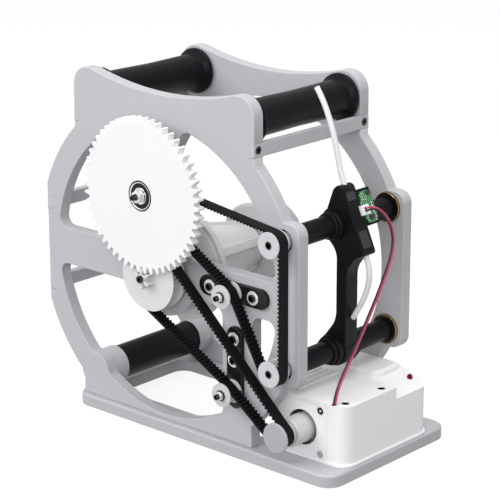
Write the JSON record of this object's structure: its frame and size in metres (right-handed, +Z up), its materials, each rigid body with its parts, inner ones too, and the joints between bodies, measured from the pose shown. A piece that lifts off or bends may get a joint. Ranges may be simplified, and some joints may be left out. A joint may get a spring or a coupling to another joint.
{
  "type": "filament spool winder",
  "caption": "Motor-driven spool winder with skeleton side plates, toothed belts, a large gear, top rollers and a sliding filament guide on two turning rods",
  "frame": {"origin": "middle of the winder's length and depth, on the surface it stands on", "axes": "X along the base towards the drive box, Y from the gear side to the back, Z up"},
  "size_m": [0.2782, 0.1564, 0.2577],
  "materials": {
    "frame_grey": "light grey printed plastic, faint sheen",
    "steel": "plain steel fasteners and bearings",
    "black_plastic": "black plastic, satin",
    "dark_screw": "blackened steel screws",
    "white_plastic": "white moulded plastic",
    "motor_grey": "light grey turned metal",
    "belt_rubber": "black toothed-belt rubber",
    "board_green": "green circuit board",
    "lamp_red": "dark red lamp",
    "wire_red": "red wire insulation",
    "wire_black": "black wire insulation"
  },
  "bodies": {
    "frame": {"base_plate": "frame_grey", "front_plate": "frame_grey", "rear_plate": "frame_grey", "crossbar_top_right": "frame_grey", "crossbar_top_left": "frame_grey", "crossbar_mid_left": "frame_grey", "crossbar_low_left": "frame_grey", "tube_sockets": "frame_grey", "crossbar_screws": "steel", "base_screws": "steel", "roller_axles": "steel", "spool_bearings": "steel", "gear_stud": "steel", "gear_nut": "steel", "upper_rod_bearings": "steel", "lower_rod_bearings": "steel", "panel_screws": "steel", "cover_screws": "steel", "lower_spacer_tube": "black_plastic", "power_socket": "black_plastic", "box_cover": "white_plastic", "box_tray": "white_plastic", "motor_panel": "white_plastic", "gear_motor": "motor_grey", "drive_belt": "belt_rubber", "guide_belt": "belt_rubber", "wire_grommet": "belt_rubber", "control_board": "board_green", "status_lamp": "lamp_red", "sensor_wire_red": "wire_red", "sensor_wire_black": "wire_black"},
    "left_roller": {"top_roller_left": "black_plastic"},
    "right_roller": {"top_roller_right": "black_plastic"},
    "spool_drive": {"spool_axle": "steel", "pinion_pulley": "white_plastic", "axle_screw": "dark_screw", "spool_hub": "white_plastic"},
    "gear": {"drive_gear": "white_plastic", "gear_bearing": "steel", "gear_pulley": "white_plastic"},
    "motor_output": {"motor_shaft": "steel", "motor_pulley": "motor_grey"},
    "upper_rod": {"upper_guide_rod": "black_plastic", "upper_rod_pulley": "white_plastic", "upper_rod_screw": "dark_screw"},
    "lower_rod": {"lower_guide_rod": "black_plastic", "lower_rod_pulley": "white_plastic", "lower_rod_screw": "dark_screw"},
    "upper_tensioner": {"upper_tensioner_bar": "black_plastic", "upper_tensioner_screws": "steel", "upper_idler_bolt": "steel"},
    "lower_tensioner": {"lower_tensioner_bar": "black_plastic", "lower_tensioner_screws": "steel", "lower_idler_bolt": "steel"},
    "upper_idler": {"upper_idler": "white_plastic"},
    "lower_idler": {"lower_idler": "white_plastic"},
    "guide": {"guide_body": "black_plastic", "sensor_board": "board_green", "sensor_plug": "white_plastic", "guide_tube": "white_plastic"}
  },
  "joints": [
    {"name": "spool_spin", "type": "hinge", "parent": "frame", "child": "spool_drive", "pos_m": [-0.02032, -0.04925, 0.12], "axis": [0, 1, 0], "continuous": true},
    {"name": "gear_spin", "type": "hinge", "parent": "frame", "child": "gear", "pos_m": [-0.02032, -0.04925, 0.18], "axis": [0, 1, 0], "continuous": true},
    {"name": "motor_spin", "type": "hinge", "parent": "frame", "child": "motor_output", "pos_m": [0.09917, -0.04925, 0.0307], "axis": [0, 1, 0], "continuous": true},
    {"name": "upper_rod_spin", "type": "hinge", "parent": "frame", "child": "upper_rod", "pos_m": [0.09258, -0.04925, 0.1652], "axis": [0, 1, 0], "continuous": true},
    {"name": "lower_rod_spin", "type": "hinge", "parent": "frame", "child": "lower_rod", "pos_m": [0.09258, -0.04925, 0.0748], "axis": [0, 1, 0], "continuous": true},
    {"name": "left_roller_spin", "type": "hinge", "parent": "frame", "child": "left_roller", "pos_m": [-0.09052, -0.04925, 0.2387], "axis": [0, 1, 0], "continuous": true},
    {"name": "right_roller_spin", "type": "hinge", "parent": "frame", "child": "right_roller", "pos_m": [0.04988, -0.04925, 0.2387], "axis": [0, 1, 0], "continuous": true},
    {"name": "upper_tensioner_slide", "type": "slide", "parent": "frame", "child": "upper_tensioner", "axis": [1, 0, 0], "range_m": [-0.006, 0]},
    {"name": "lower_tensioner_slide", "type": "slide", "parent": "frame", "child": "lower_tensioner", "axis": [0, 0, 1], "range_m": [-0.006, 0]},
    {"name": "upper_idler_spin", "type": "hinge", "parent": "upper_tensioner", "child": "upper_idler", "pos_m": [0.05028, -0.04925, 0.1206], "axis": [0, 1, 0], "continuous": true},
    {"name": "lower_idler_spin", "type": "hinge", "parent": "lower_tensioner", "child": "lower_idler", "pos_m": [0.05028, -0.04925, 0.0495], "axis": [0, 1, 0], "continuous": true},
    {"name": "guide_slide", "type": "slide", "parent": "frame", "child": "guide", "axis": [0, 1, 0], "range_m": [-0.026, 0.02], "deforming": ["sensor_wire_red", "sensor_wire_black"]}
  ],
  "couplings": [
    {"joint": "gear_spin", "follows": "spool_spin", "ratio": -0.11111},
    {"joint": "motor_spin", "follows": "spool_spin", "ratio": 3},
    {"joint": "upper_rod_spin", "follows": "spool_spin", "ratio": -0.11111},
    {"joint": "lower_rod_spin", "follows": "spool_spin", "ratio": -0.11111},
    {"joint": "lower_idler_spin", "follows": "spool_spin", "ratio": -3.7819},
    {"joint": "upper_idler_spin", "follows": "spool_spin", "ratio": 0.15758}
  ]
}
